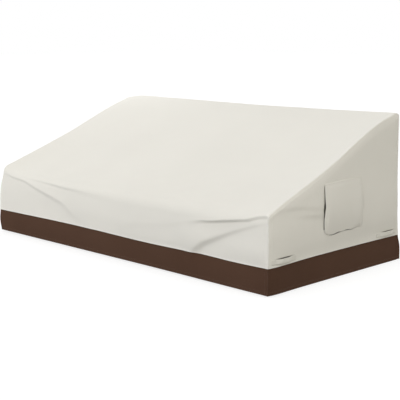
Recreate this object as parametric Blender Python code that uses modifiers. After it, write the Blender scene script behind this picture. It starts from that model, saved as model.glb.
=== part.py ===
"""Fitted cover for a long outdoor sofa, in the shape in which it hangs on the seat.

Metres. X runs along the length, -Y is the front, Z is up, and the hem's lower edge is at zero.
A light front, slope and crown panel, a back panel and two end panels are sewn edge to edge,
and each ends in a brown band strip that is tucked up behind the light cloth.
"""

import math
from collections import namedtuple

import bmesh
import bpy
from mathutils import Vector
from mathutils.bvhtree import BVHTree

# Driving sizes
LENGTH = 2.24
DEPTH = 1.116
CLOTH = 0.002
SEAM_GAP = 0.0003
LAP = 0.012  # how far the band runs up behind the light cloth
EDGE_ROUND = 0.015  # radius of the rolled edge at a seam between panels
FRONT_ROUND = 0.032  # reach of the front fold's rounding at the ends
FRONT_ROUND_MIDDLE = 0.050
CROWN_FLAT = 0.058  # depth of the crown, from the slope to the back
CROWN_DROP = 0.030  # how far the crown's rounding runs down the back
END_ROUND = 0.055  # height over which an end panel rolls out below the slope
CORNER_ROUND = 0.022  # the same beside an upright corner
BAND_FADE = 2.0  # power with which a fold dies out down the band
END_HOLD = 8.0  # power with which the top rises to its end seams
SEAM_HOLD = 0.035  # a fold dies out over this distance from a seam
GUESSED_RELIEF = 0.7  # the hidden end's folds against those of the end that shows

# Mesh divisions
SPAN_COLUMNS = 40
EDGE_COLUMNS = 2
WALL_ROWS = 10
BAND_ROWS = (0.0, 0.34, 0.68, 1.0)
FOLD_ROWS = 3
SLOPE_ROWS = 9
CROWN_ROWS = 3

HALF_LENGTH = LENGTH / 2
HALF_DEPTH = DEPTH / 2
SEAM_INSET = EDGE_ROUND * (1 - math.cos(math.radians(45)))
SEAM_X = HALF_LENGTH - SEAM_INSET

# Height of the top at each distance from front to back. The first and last rows are the corners
# that the front fold and the crown round off.
Station = namedtuple("Station", "y left middle right")
STATIONS = (
    Station(-0.56, 0.404, 0.365, 0.385),
    Station(-0.41, 0.455, 0.420, 0.446),
    Station(-0.20, 0.525, 0.502, 0.523),
    Station(0.00, 0.595, 0.584, 0.605),
    Station(0.20, 0.676, 0.678, 0.705),
    Station(0.36, 0.739, 0.750, 0.772),
    Station(0.50, 0.787, 0.799, 0.809),
    Station(0.56, 0.808, 0.819, 0.821),
)

# How far each upright corner stands inside the hem's rectangle, by height.
INSET_HEIGHTS = (0.0, 0.07, 0.131, 0.27, 0.39, 0.82)
Corner = namedtuple("Corner", "side_x side_y insets")
CORNERS = (
    Corner(-1, -1, (-0.001, -0.010, -0.008, 0.001, 0.019, 0.028)),
    Corner(1, -1, (0.000, -0.002, 0.003, 0.009, 0.020, 0.027)),
    Corner(1, 1, (-0.008, -0.006, 0.002, 0.008, 0.011, 0.015)),
    Corner(-1, 1, (0.000, -0.004, 0.000, 0.008, 0.016, 0.022)),
)

# Height of the band's uneven upper edge along the front and the back.
BandEdge = namedtuple("BandEdge", "x front back")
BAND_EDGES = (
    BandEdge(-1.12, 0.132, 0.133),
    BandEdge(-0.60, 0.136, 0.131),
    BandEdge(-0.20, 0.135, 0.129),
    BandEdge(0.25, 0.129, 0.130),
    BandEdge(0.70, 0.133, 0.132),
    BandEdge(1.12, 0.136, 0.137),
)
END_ARCH = 0.004  # how far that edge rises midway along the ends

# Folds. Along the front panel a point is x and the run of cloth up from the hem, and on an end
# panel it is y and the height. A positive depth is a trough, and the lip is the roll above it.
Fold = namedtuple("Fold", "panel start middle end width depth lip")
FOLDS = (
    Fold("front", (-1.07, 0.375), (-0.62, 0.345), (-0.05, 0.322), 0.020, 0.008, 0.003),
    Fold("front", (-1.07, 0.350), (-0.60, 0.268), (-0.28, 0.135), 0.022, 0.012, 0.004),
    Fold("front", (-0.98, 0.290), (-0.75, 0.225), (-0.50, 0.150), 0.045, -0.006, 0.000),
    Fold("front", (-0.55, 0.300), (-0.10, 0.235), (0.25, 0.215), 0.045, -0.007, 0.000),
    Fold("front", (1.09, 0.378), (0.80, 0.318), (0.42, 0.238), 0.018, 0.010, 0.003),
    Fold("front", (1.07, 0.340), (0.86, 0.268), (0.58, 0.128), 0.024, 0.016, 0.004),
    Fold("front", (1.00, 0.245), (0.86, 0.195), (0.74, 0.150), 0.040, -0.006, 0.000),
    Fold("front", (-0.96, 1.200), (-0.66, 0.900), (-0.55, 0.660), 0.070, 0.006, 0.000),
    Fold("right", (-0.52, 0.372), (-0.40, 0.392), (-0.15, 0.362), 0.022, 0.008, 0.000),
    Fold("right", (-0.36, 0.358), (-0.25, 0.335), (-0.13, 0.305), 0.030, -0.006, 0.000),
    Fold("right", (0.47, 0.740), (0.45, 0.600), (0.47, 0.420), 0.035, 0.005, 0.000),
    Fold("back", (-1.05, 0.720), (-0.82, 0.560), (-0.70, 0.330), 0.060, 0.008, 0.000),
    Fold("back", (1.05, 0.730), (0.86, 0.590), (0.78, 0.380), 0.060, 0.007, 0.000),
)
FOLD_STEPS = 8
FOLD_END_SHARE = 0.25  # share of its depth that a fold has at its two ends
LIP_HEIGHT = 1.6  # the lip's place above the trough, in fold widths
LIP_REACH = 3.0  # and how far it is felt

# Vent flaps, on the end panels
FLAP_FRONT = -0.127
FLAP_BACK = 0.198
FLAP_BOTTOM = 0.232
FLAP_TOP = 0.497
FLAP_COLUMNS = 8
FLAP_ROWS = 8
FLAP_SEAM_LIFT = 0.0006  # clearance where it is sewn down
FLAP_OPEN_LIFT = 0.018  # its open front edge, at mid height
FLAP_HEM_LIFT = 0.006  # its wavy lower edge
FLAP_HEM_FADE = 0.6  # share of that lift which is lost towards the sewn edge
FLAP_HEM_RIPPLE = 0.3
FLAP_RIPPLES = 1.5
FLAP_WAVE = 0.0035  # rise and fall of the lower edge
FLAP_WAVES = 1.2
FLAP_OPEN_LOW = 0.12  # where the opening's curve starts, as a share of the height
FLAP_OPEN_SHAPE = 0.8

# Grab handles: the ends are measured along Y
Handle = namedtuple("Handle", "name front back")
HANDLES = (
    Handle("front", -0.530, -0.352),
    Handle("back", 0.345, 0.524),
)
STRAP_WIDTH = 0.025
STRAP_LOWER_EDGE = 0.1445
STRAP_LIFT = 0.013
STRAP_PAD = 0.026  # length sewn down at each end
STRAP_RISE = 0.024  # length over which it leaves the cloth
STRAP_PAD_LIFT = 0.0005
STRAP_STEPS = 16

# Looks: colour, roughness
LIGHT_CLOTH = ((0.78, 0.76, 0.70, 1.0), 0.85)
BROWN_CLOTH = ((0.060, 0.033, 0.024, 1.0), 0.80)
LIGHT_WEBBING = ((0.72, 0.70, 0.63, 1.0), 0.80)


def curve_through(points, t):
    """Smooth value at t through (t, value) points, without overshooting at the ends."""
    last = len(points) - 1
    if t <= points[0][0]:
        return points[0][1]
    if t >= points[last][0]:
        return points[last][1]
    k = max(i for i in range(last) if points[i][0] <= t)
    span = points[k + 1][0] - points[k][0]

    def rate(i):
        low = max(i - 1, 0)
        high = min(i + 1, last)
        return (points[high][1] - points[low][1]) / (points[high][0] - points[low][0])

    s = (t - points[k][0]) / span
    start_share = (1 + 2 * s) * (1 - s) ** 2
    end_share = s * s * (3 - 2 * s)
    start_pull = s * (1 - s) ** 2 * span * rate(k)
    end_pull = s * s * (s - 1) * span * rate(k + 1)
    return start_share * points[k][1] + end_share * points[k + 1][1] + start_pull + end_pull


def ease(distance, reach):
    """0 at no distance, 1 from the reach on."""
    s = min(max(distance / reach, 0.0), 1.0)
    return s * s * (3 - 2 * s)


def corner_blend(x, y, values):
    """Value at (x, y) between the four corners' values."""
    total = 0.0
    for (side_x, side_y), value in values.items():
        share_x = (1 + side_x * x / HALF_LENGTH) / 2
        share_y = (1 + side_y * y / HALF_DEPTH) / 2
        total += share_x * share_y * value
    return total


def taper(x, y, z):
    """Moves a point of the straight-sided cover to where the leaning, bulging walls hold it."""
    values = {}
    for corner in CORNERS:
        stations = list(zip(INSET_HEIGHTS, corner.insets))
        values[corner.side_x, corner.side_y] = curve_through(stations, z)
    inset = corner_blend(x, y, values)
    return Vector((x * (1 - inset / HALF_LENGTH), y * (1 - inset / HALF_DEPTH), z))


def band_top(x, y):
    """Height at which the light cloth ends over the band."""
    front = curve_through([(row.x, row.front) for row in BAND_EDGES], x)
    back = curve_through([(row.x, row.back) for row in BAND_EDGES], x)
    arch = END_ARCH * (1 - (y / HALF_DEPTH) ** 2)
    return front + (back - front) * (1 + y / HALF_DEPTH) / 2 + arch


def top_height(x, y):
    """Height of the top before its front and back edges are rounded."""
    held = abs(x / HALF_LENGTH) ** END_HOLD
    points = []
    for row in STATIONS:
        end = row.left if x < 0 else row.right
        points.append((row.y, row.middle + held * (end - row.middle)))
    return curve_through(points, y)


def rounded(start, corner, end, rows):
    """Points of the curve that rounds off a corner, after its start."""
    points = []
    for step in range(1, rows + 1):
        s = step / rows
        points.append(start * (1 - s) ** 2 + corner * 2 * s * (1 - s) + end * s * s)
    return points


def nearest_on(spine, point):
    """Distance from a point to a fold's line, the share of the line there, and that place."""
    nearest = None
    for k in range(len(spine) - 1):
        along = spine[k + 1] - spine[k]
        t = min(max((point - spine[k]).dot(along) / along.length_squared, 0.0), 1.0)
        place = spine[k] + along * t
        away = (point - place).length
        if nearest is None or away < nearest[0]:
            nearest = (away, (k + t) / (len(spine) - 1), place)
    return nearest


def fold_relief(panel, across, up):
    """How far the folds push a point of a panel outwards."""
    relief = 0.0
    for fold in FOLDS:
        if fold.panel != panel:
            continue
        start = Vector(fold.start)
        end = Vector(fold.end)
        control = 2 * Vector(fold.middle) - (start + end) / 2
        spine = [start] + rounded(start, control, end, FOLD_STEPS)
        away, share, place = nearest_on(spine, Vector((across, up)))
        strength = FOLD_END_SHARE + (1 - FOLD_END_SHARE) * math.sin(math.pi * share)
        trough = math.exp(-((away / fold.width) ** 2))
        above = (up - place.y) / fold.width
        felt = math.exp(-((away / (LIP_REACH * fold.width)) ** 2))
        roll = math.exp(-((above - LIP_HEIGHT) ** 2)) * felt
        relief += strength * (fold.lip * roll - fold.depth * trough)
    return relief


def edge_columns():
    """Distance in from a panel's end and drop of the rolled edge, from the seam inwards."""
    columns = []
    for step in range(EDGE_COLUMNS):
        angle = math.radians(45) * (1 - step / EDGE_COLUMNS)
        inwards = EDGE_ROUND * (1 - math.sin(angle))
        drop = EDGE_ROUND * (1 - math.cos(angle))
        columns.append((inwards, drop))
    return columns


def span_columns():
    """x and edge drop of each column of the front and back panels, left to right."""
    left = [(inwards - HALF_LENGTH, drop) for inwards, drop in edge_columns()]
    right = [(-x, drop) for x, drop in reversed(left)]
    flat = HALF_LENGTH - EDGE_ROUND
    middle = []
    for step in range(SPAN_COLUMNS + 1):
        middle.append((flat * (2 * step / SPAN_COLUMNS - 1), 0.0))
    return left + middle + right


def wall_heights(x, y, top):
    """Heights of a wall's rows, from the band's upper edge to the top."""
    low = band_top(x, y)
    lap = low + LAP
    heights = [low]
    for step in range(WALL_ROWS):
        heights.append(lap + (top - lap) * step / (WALL_ROWS - 1))
    return heights


def profile(x):
    """Section of the front panel at x: (y, z), outward normal and run of cloth for each row."""
    held = abs(x / HALF_LENGTH) ** END_HOLD
    reach = FRONT_ROUND_MIDDLE + held * (FRONT_ROUND - FRONT_ROUND_MIDDLE)
    front = Vector((-HALF_DEPTH, top_height(x, -HALF_DEPTH)))
    wall_end = front - Vector((0.0, reach))
    slope_y = reach - HALF_DEPTH
    slope_start = Vector((slope_y, top_height(x, slope_y)))
    crown_y = HALF_DEPTH - CROWN_FLAT
    crown_start = Vector((crown_y, top_height(x, crown_y)))
    crown = Vector((HALF_DEPTH, top_height(x, HALF_DEPTH)))
    crown_end = crown - Vector((0.0, CROWN_DROP))
    points = [Vector((-HALF_DEPTH, z)) for z in wall_heights(x, -HALF_DEPTH, wall_end.y)]
    points += rounded(wall_end, front, slope_start, FOLD_ROWS)
    for step in range(1, SLOPE_ROWS + 1):
        y = slope_y + (crown_y - slope_y) * step / SLOPE_ROWS
        points.append(Vector((y, top_height(x, y))))
    points += rounded(crown_start, crown, crown_end, CROWN_ROWS)
    rows = []
    run = points[0].y
    for k, point in enumerate(points):
        if k:
            run += (point - points[k - 1]).length
        before = points[max(k - 1, 0)]
        after = points[min(k + 1, len(points) - 1)]
        along = (after - before).normalized()
        normal = Vector((-along.y, along.x))
        if k == len(points) - 1:
            normal = Vector((1.0, 0.0))
        rows.append((point, normal, run))
    return rows


def front_points():
    """The front, slope and crown panel: columns left to right, rows from the band upwards."""
    table = []
    for x, drop in span_columns():
        column = []
        hold = ease(HALF_LENGTH - abs(x) - SEAM_INSET, SEAM_HOLD)
        for point, normal, run in profile(x):
            out = hold * fold_relief("front", x, run) - drop
            column.append(taper(x, point.x + normal.x * out, point.y + normal.y * out))
        table.append(column)
    return table


def back_points():
    """The back panel: columns right to left, rows from the band up to the crown's seam."""
    table = []
    for x, drop in reversed(span_columns()):
        top = top_height(x, HALF_DEPTH) - CROWN_DROP
        hold = ease(HALF_LENGTH - abs(x) - SEAM_INSET, SEAM_HOLD)
        column = []
        for z in wall_heights(x, HALF_DEPTH, top):
            relief = hold * ease(top - z, SEAM_HOLD) * fold_relief("back", x, z)
            column.append(taper(x, HALF_DEPTH + relief - drop, z))
        table.append(column)
    return table


def end_seam(side):
    """(y, z) of the seam round an end panel: up the front corner, then back to the crown's end."""
    seam = []
    for point, normal, _ in profile(side * SEAM_X):
        seam.append(point - normal * SEAM_INSET)
    return seam


def end_relief(side, y, z, top):
    """How far an end panel stands out from its plane at (y, z)."""
    from_front = y + HALF_DEPTH - SEAM_INSET
    from_back = HALF_DEPTH - SEAM_INSET - y
    from_top = top - z
    rolls = ((from_front, CORNER_ROUND), (from_back, CORNER_ROUND), (from_top, END_ROUND))
    roll = 0.0
    hold = 1.0
    for distance, reach in rolls:
        roll = max(roll, (1 - min(max(distance, 0.0) / reach, 1.0)) ** 2)
        hold *= ease(distance, SEAM_HOLD)
    share = 1.0 if side > 0 else GUESSED_RELIEF
    return share * hold * fold_relief("right", y, z) - SEAM_INSET * roll


def end_column_ys(side):
    """y of each column of an end panel, front to back."""
    return [point.x for point in end_seam(side)[WALL_ROWS:]]


def end_points(side):
    """An end panel: columns front to back, rows from the band up to the slope's seam."""
    seam = end_seam(side)
    back_y = HALF_DEPTH - SEAM_INSET
    table = []
    for i, top in enumerate(seam[WALL_ROWS:]):
        column = []
        for k, z in enumerate(wall_heights(side * SEAM_X, top.x, top.y)):
            y = top.x
            if i == 0:
                y = seam[k].x
                z = seam[k].y
            elif i == len(seam) - 1 - WALL_ROWS:
                y = back_y
            out = end_relief(side, y, z, top.y)
            column.append(taper(side * (HALF_LENGTH + out), y, z))
        table.append(column)
    return table if side > 0 else table[::-1]


def band_heights(x, y):
    """Heights of a band strip's rows, from the hem to its tucked upper edge."""
    top = band_top(x, y)
    return [share * top for share in BAND_ROWS] + [top + LAP]


def long_band_points(side):
    """The front or back strip, on the plane of the light cloth's outer face."""
    panel = "front" if side < 0 else "back"
    table = []
    for x, drop in span_columns():
        y = side * HALF_DEPTH
        top = band_top(x, y)
        hold = ease(HALF_LENGTH - abs(x) - SEAM_INSET, SEAM_HOLD)
        column = []
        for z in band_heights(x, y):
            fade = min(z / top, 1.0) ** BAND_FADE
            relief = hold * fade * fold_relief(panel, x, max(z, top))
            column.append(taper(x, side * (HALF_DEPTH + relief - drop), z))
        table.append(column)
    return table if side < 0 else table[::-1]


def end_band_points(side):
    """A strip below an end panel."""
    ys = end_column_ys(side)
    ys[0] = SEAM_INSET - HALF_DEPTH
    table = []
    for y in ys:
        column = []
        for z in band_heights(side * SEAM_X, y):
            out = end_relief(side, y, z, 1.0)
            column.append(taper(side * (HALF_LENGTH + out), y, z))
        table.append(column)
    return table if side > 0 else table[::-1]


def sewn(tables):
    """Joins the panels' grids along their seams in one skin and notes each point's normal."""
    skin = bmesh.new()
    panel = skin.faces.layers.int.new("panel")
    for index, table in enumerate(tables):
        columns = len(table) - 1
        rows = len(table[0]) - 1
        grid = bmesh.ops.create_grid(skin, x_segments=columns, y_segments=rows, size=0.5)
        for vert in grid["verts"]:
            i = round((vert.co.x + 0.5) * columns)
            j = round((vert.co.y + 0.5) * rows)
            for face in vert.link_faces:
                face[panel] = index
            vert.co = table[i][j]
    bmesh.ops.remove_doubles(skin, verts=skin.verts, dist=0.0001)
    skin.normal_update()
    hem = skin.edges.layers.int.new("hem")
    for edge in skin.edges:
        edge[hem] = int(edge.is_boundary)
    outward = skin.verts.layers.float_vector.new("outward")
    for vert in skin.verts:
        vert[outward] = vert.normal
    return skin


def cut_back(piece):
    """Draws a panel's sewn edges back by half the seam gap."""
    hem = piece.edges.layers.int["hem"]
    outward = piece.verts.layers.float_vector["outward"]
    moves = {}
    for edge in piece.edges:
        if not edge.is_boundary or edge[hem]:
            continue
        middle = (edge.verts[0].co + edge.verts[1].co) / 2
        inside = edge.link_faces[0].calc_center_median() - middle
        for vert in edge.verts:
            away = (edge.verts[1].co - edge.verts[0].co).cross(vert[outward]).normalized()
            if away.dot(inside) < 0:
                away.negate()
            moves.setdefault(vert, []).append(away)
    for vert, ways in moves.items():
        total = sum(ways, Vector())
        share = 1.0 if len(ways) == 1 else 1.0 / (1 + ways[0].dot(ways[1]))
        vert.co += total * share * SEAM_GAP / 2


def thicken(piece, set_in):
    """Gives the skin its thickness, inwards from set_in behind the skin."""
    outward = piece.verts.layers.float_vector["outward"]
    rim = [loop for face in piece.faces for loop in face.loops if loop.edge.is_boundary]
    rim = [(loop.vert, loop.link_loop_next.vert) for loop in rim]
    outer = list(piece.verts)
    copy = bmesh.ops.duplicate(piece, geom=piece.faces[:])
    inner = {vert: copy["vert_map"][vert] for vert in outer}
    bmesh.ops.reverse_faces(piece, faces=[f for f in copy["geom"] if isinstance(f, bmesh.types.BMFace)])
    for first, second in rim:
        piece.faces.new((second, first, inner[first], inner[second]))
    for vert in outer:
        inner[vert].co = vert.co - vert[outward] * (set_in + CLOTH)
        vert.co = vert.co - vert[outward] * set_in


def finished(name, mesh, look, collection):
    """Puts a mesh in the collection as an object of its own material."""
    item = bpy.data.objects.new(name, mesh)
    collection.objects.link(item)
    material = bpy.data.materials.new(name)
    material.use_nodes = True
    shader = material.node_tree.nodes["Principled BSDF"]
    shader.inputs["Base Color"].default_value = look[0]
    shader.inputs["Roughness"].default_value = look[1]
    shader.inputs["Metallic"].default_value = 0.0
    mesh.materials.append(material)
    mesh.shade_smooth()
    return item


def cut_panels(skin, names, look, set_in, collection):
    """Makes a solid panel from each part of the skin."""
    for index, name in enumerate(names):
        piece = skin.copy()
        panel = piece.faces.layers.int["panel"]
        others = [face for face in piece.faces if face[panel] != index]
        bmesh.ops.delete(piece, geom=others, context="FACES")
        cut_back(piece)
        thicken(piece, set_in)
        mesh = bpy.data.meshes.new(name)
        piece.to_mesh(mesh)
        piece.free()
        finished(name, mesh, look, collection)


def wall_x(walls, side, y, z):
    """x of an end panel's outer face at (y, z)."""
    hit = walls.ray_cast(Vector((side * LENGTH, y, z)), Vector((-side, 0.0, 0.0)))
    return hit[0].x


def sheet_on_end(name, side, columns, rows, place, look, collection):
    """A sheet sewn on an end panel. place gives y, z and lift at shares of its length and height."""
    skin = bmesh.new()
    grid = bmesh.ops.create_grid(skin, x_segments=columns, y_segments=rows, size=0.5)
    for vert in grid["verts"]:
        along = vert.co.x + 0.5
        if side < 0:
            along = 1 - along
        vert.co = place(along, vert.co.y + 0.5)
    mesh = bpy.data.meshes.new(name)
    skin.to_mesh(mesh)
    skin.free()
    item = finished(name, mesh, look, collection)
    solid = item.modifiers.new("cloth", "SOLIDIFY")
    solid.thickness = CLOTH
    solid.offset = 1.0
    return item


def vent_flap(name, side, walls, collection):
    """Square flap sewn along its top and back edges, its front edge standing open."""

    def place(along, up):
        y = FLAP_FRONT + (FLAP_BACK - FLAP_FRONT) * along
        low = FLAP_BOTTOM - FLAP_WAVE * math.sin(2 * math.pi * FLAP_WAVES * along)
        z = low + (FLAP_TOP - low) * up
        height = FLAP_OPEN_LOW + (1 - FLAP_OPEN_LOW) * up
        bow = math.sin(math.pi * height) ** FLAP_OPEN_SHAPE
        open_edge = FLAP_OPEN_LIFT * (1 - along) ** 3 * bow
        ripple = 1 - FLAP_HEM_RIPPLE * (1 - math.cos(2 * math.pi * FLAP_RIPPLES * along))
        hem = FLAP_HEM_LIFT * ripple * (1 - up) ** 4 * (1 - FLAP_HEM_FADE * along)
        lift = FLAP_SEAM_LIFT + open_edge + hem
        return Vector((wall_x(walls, side, y, z) + side * lift, y, z))

    sheet_on_end(name, side, FLAP_COLUMNS, FLAP_ROWS, place, LIGHT_CLOTH, collection)


def grab_handle(name, side, handle, walls, collection):
    """Flat webbing strap, sewn down at both ends and slack between them."""
    length = handle.back - handle.front

    def place(along, up):
        y = handle.front + length * along
        z = STRAP_LOWER_EDGE + STRAP_WIDTH * up
        from_end = length * min(along, 1 - along)
        lift = STRAP_PAD_LIFT + STRAP_LIFT * ease(from_end - STRAP_PAD, STRAP_RISE)
        return Vector((wall_x(walls, side, y, z) + side * lift, y, z))

    sheet_on_end(name, side, STRAP_STEPS, 1, place, LIGHT_WEBBING, collection)


def main():
    for item in list(bpy.data.objects):
        bpy.data.objects.remove(item)
    cover = bpy.data.collections.new("sofa_cover")
    bpy.context.scene.collection.children.link(cover)

    light = sewn((front_points(), end_points(1), back_points(), end_points(-1)))
    names = ("top_panel", "right_end_panel", "back_panel", "left_end_panel")
    cut_panels(light, names, LIGHT_CLOTH, 0.0, cover)

    brown = sewn((long_band_points(-1), end_band_points(1), long_band_points(1), end_band_points(-1)))
    names = ("front_band", "right_band", "back_band", "left_band")
    cut_panels(brown, names, BROWN_CLOTH, CLOTH + SEAM_GAP, cover)

    walls = BVHTree.FromBMesh(light)
    for label, side in (("right", 1), ("left", -1)):
        vent_flap(label + "_vent_flap", side, walls, cover)
        for handle in HANDLES:
            grab_handle(f"{label}_{handle.name}_handle", side, handle, walls, cover)
    light.free()
    brown.free()


main()
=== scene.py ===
# Fitted cover for a long outdoor sofa: light woven panels, a brown hem band, vent flaps and grab handles,
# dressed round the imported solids. Metres: X runs along the length, -Y is the front, Z is up, the hem is at 0.
import math
import bpy
import numpy as np
from mathutils import Matrix, Vector
from mathutils.bvhtree import BVHTree


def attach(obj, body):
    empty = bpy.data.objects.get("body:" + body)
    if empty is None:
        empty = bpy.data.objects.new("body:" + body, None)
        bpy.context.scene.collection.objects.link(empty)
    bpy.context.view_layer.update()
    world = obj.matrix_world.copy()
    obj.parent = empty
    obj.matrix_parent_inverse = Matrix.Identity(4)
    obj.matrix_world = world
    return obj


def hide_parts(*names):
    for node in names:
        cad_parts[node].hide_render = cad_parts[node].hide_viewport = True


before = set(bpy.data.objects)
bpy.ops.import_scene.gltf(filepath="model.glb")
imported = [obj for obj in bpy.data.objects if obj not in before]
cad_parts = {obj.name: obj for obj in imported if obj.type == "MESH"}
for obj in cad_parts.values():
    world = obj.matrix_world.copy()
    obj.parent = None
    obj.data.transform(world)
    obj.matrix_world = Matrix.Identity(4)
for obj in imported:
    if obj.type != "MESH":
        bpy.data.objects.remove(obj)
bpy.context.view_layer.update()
print("frame loaded:", len(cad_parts), "solids")


# ---- camera, light and floor

view = {
    "azimuth": 44.554,
    "elevation": 10.1328,
    "lens": 89.073,
    "place": (4.11886, -4.07315, 1.29342),
}


def newObject(name, data):
    thing = bpy.data.objects.new(name, data)
    bpy.context.scene.collection.objects.link(thing)
    return thing


def addCamera():
    turn, rise = math.radians(view["azimuth"]), math.radians(view["elevation"])
    back = Vector((math.sin(turn) * math.cos(rise), -math.cos(turn) * math.cos(rise), math.sin(rise)))
    right = Vector((math.cos(turn), math.sin(turn), 0.0))
    data = bpy.data.cameras.new("camera")
    data.lens = view["lens"]
    data.sensor_width = 36.0
    data.clip_end = 200.0
    camera = newObject("camera", data)
    axes = Matrix((right, back.cross(right), back)).transposed()
    camera.matrix_world = Matrix.Translation(view["place"]) @ axes.to_4x4()
    bpy.context.scene.camera = camera


studio = {
    "backdrop": 1.0,  # what the camera sees behind the cover
    # brightness of the room by the height of the direction, -1 straight down and 1 straight up: bright above, dark
    # along the horizon and fairly bright below it
    "room": ((-1.0, 0.12), (-0.56, 0.12), (-0.45, 0.68), (-0.20, 0.68), (-0.09, 0.03), (0.09, 0.03), (0.20, 0.90),
             (1.0, 0.85)),
    # wide far lights: where from, strength and tone
    "far": {
        "front": ((0.0, -0.98, 0.18), 0.92, (1.0, 1.0, 1.0)),
        "warmSide": ((1.0, 0.0, 0.18), 0.185, (1.0, 0.74, 0.0)),
    },
    "spread": 34.0,  # how wide the far lights look, in degrees
    # square soft lights near the cover: place, aim, width and power
    "near": {
        "fill": ((-1.7, -2.6, 0.9), (-0.7, -0.5, 0.3), 1.2, 6.0),
        "rim": ((-1.7, 1.1, 1.5), (-1.0, 0.45, 0.8), 0.5, 4.8),
        "side": ((2.6, -0.6, 1.3), (1.1, 0.0, 0.4), 0.8, 2.35),
    },
    "floorWidth": 60.0,
    "floorDrop": 0.0095,  # the hem sags almost as far below its height in the solids
    "floorTone": 0.35,
    "floorGlow": 0.74,  # the floor's own light, so that the shadow on it stays faint
}


def addLight(name, kind, towards, power, **settings):
    data = bpy.data.lights.new(name, kind)
    data.energy = power
    for key, value in settings.items():
        setattr(data, key, value)
    light = newObject(name, data)
    light.rotation_euler = Vector(towards).to_track_quat("-Z", "Y").to_euler()
    return light


def fill(node, values):
    # sets a node's inputs: the socket keeps a plain value, and another node's output is linked to it
    for key, value in values.items():
        if isinstance(value, bpy.types.NodeSocket):
            node.id_data.links.new(value, node.inputs[key])
        else:
            node.inputs[key].default_value = value
    return node


def addNode(tree, kind, values=None, **settings):
    node = tree.nodes.new(kind)
    for key, value in settings.items():
        setattr(node, key, value)
    return fill(node, values or {})


def maths(tree, operation, *values):
    return addNode(tree, "ShaderNodeMath", dict(enumerate(values)), operation=operation).outputs[0]


def newMaterial(name):
    material = bpy.data.materials.new(name)
    material.use_nodes = True
    return material, material.node_tree, material.node_tree.nodes["Principled BSDF"]


def addRoom():
    world = bpy.data.worlds.new("studio")
    bpy.context.scene.world = world
    world.use_nodes = True
    tree = world.node_tree
    direction = addNode(tree, "ShaderNodeTexCoord").outputs["Generated"]
    height = addNode(tree, "ShaderNodeSeparateXYZ", {"Vector": direction}).outputs["Z"]
    room = addNode(tree, "ShaderNodeValToRGB", {"Fac": maths(tree, "MULTIPLY_ADD", height, 0.5, 0.5)})
    room.color_ramp.interpolation = "EASE"
    stops = room.color_ramp.elements
    while len(stops) < len(studio["room"]):
        stops.new(0.5)
    for stop, (place, bright) in zip(stops, studio["room"]):
        stop.position = 0.5 + 0.5 * place
        stop.color = (bright, bright, bright, 1.0)
    seen = addNode(tree, "ShaderNodeLightPath").outputs["Is Camera Ray"]
    strength = addNode(tree, "ShaderNodeMapRange",
                       {"Value": seen, "To Min": room.outputs["Color"], "To Max": studio["backdrop"]})
    fill(tree.nodes["Background"], {"Color": (1.0, 1.0, 1.0, 1.0), "Strength": strength.outputs["Result"]})


def addLights():
    for name, (comesFrom, power, tone) in studio["far"].items():
        addLight(name, "SUN", -Vector(comesFrom), power, angle=math.radians(studio["spread"]), color=tone)
    for name, (place, aim, width, power) in studio["near"].items():
        lamp = addLight(name, "AREA", Vector(aim) - Vector(place), power, size=width)
        lamp.location = place
        lamp.visible_camera = False


def addFloor():
    half, low, tone = studio["floorWidth"] / 2, -studio["floorDrop"], studio["floorTone"]
    corners = [(-half, -half, low), (half, -half, low), (half, half, low), (-half, half, low)]
    data = bpy.data.meshes.new("studioFloor")
    data.from_pydata(corners, [], [(0, 1, 2, 3)])
    floor = newObject("studioFloor", data)
    material, _, shader = newMaterial("paleFloor")
    fill(shader, {"Base Color": (tone, tone, tone, 1.0), "Roughness": 0.9, "Specular IOR Level": 0.0,
                  "Emission Color": (1.0, 1.0, 1.0, 1.0), "Emission Strength": studio["floorGlow"]})
    data.materials.append(material)
    floor.visible_diffuse = False


bpy.context.scene.view_settings.view_transform = "Standard"
addCamera()
addRoom()
addLights()
addFloor()
print("camera, light and floor done")


# ---- the cover's form, from the same sizes as its solids

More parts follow.
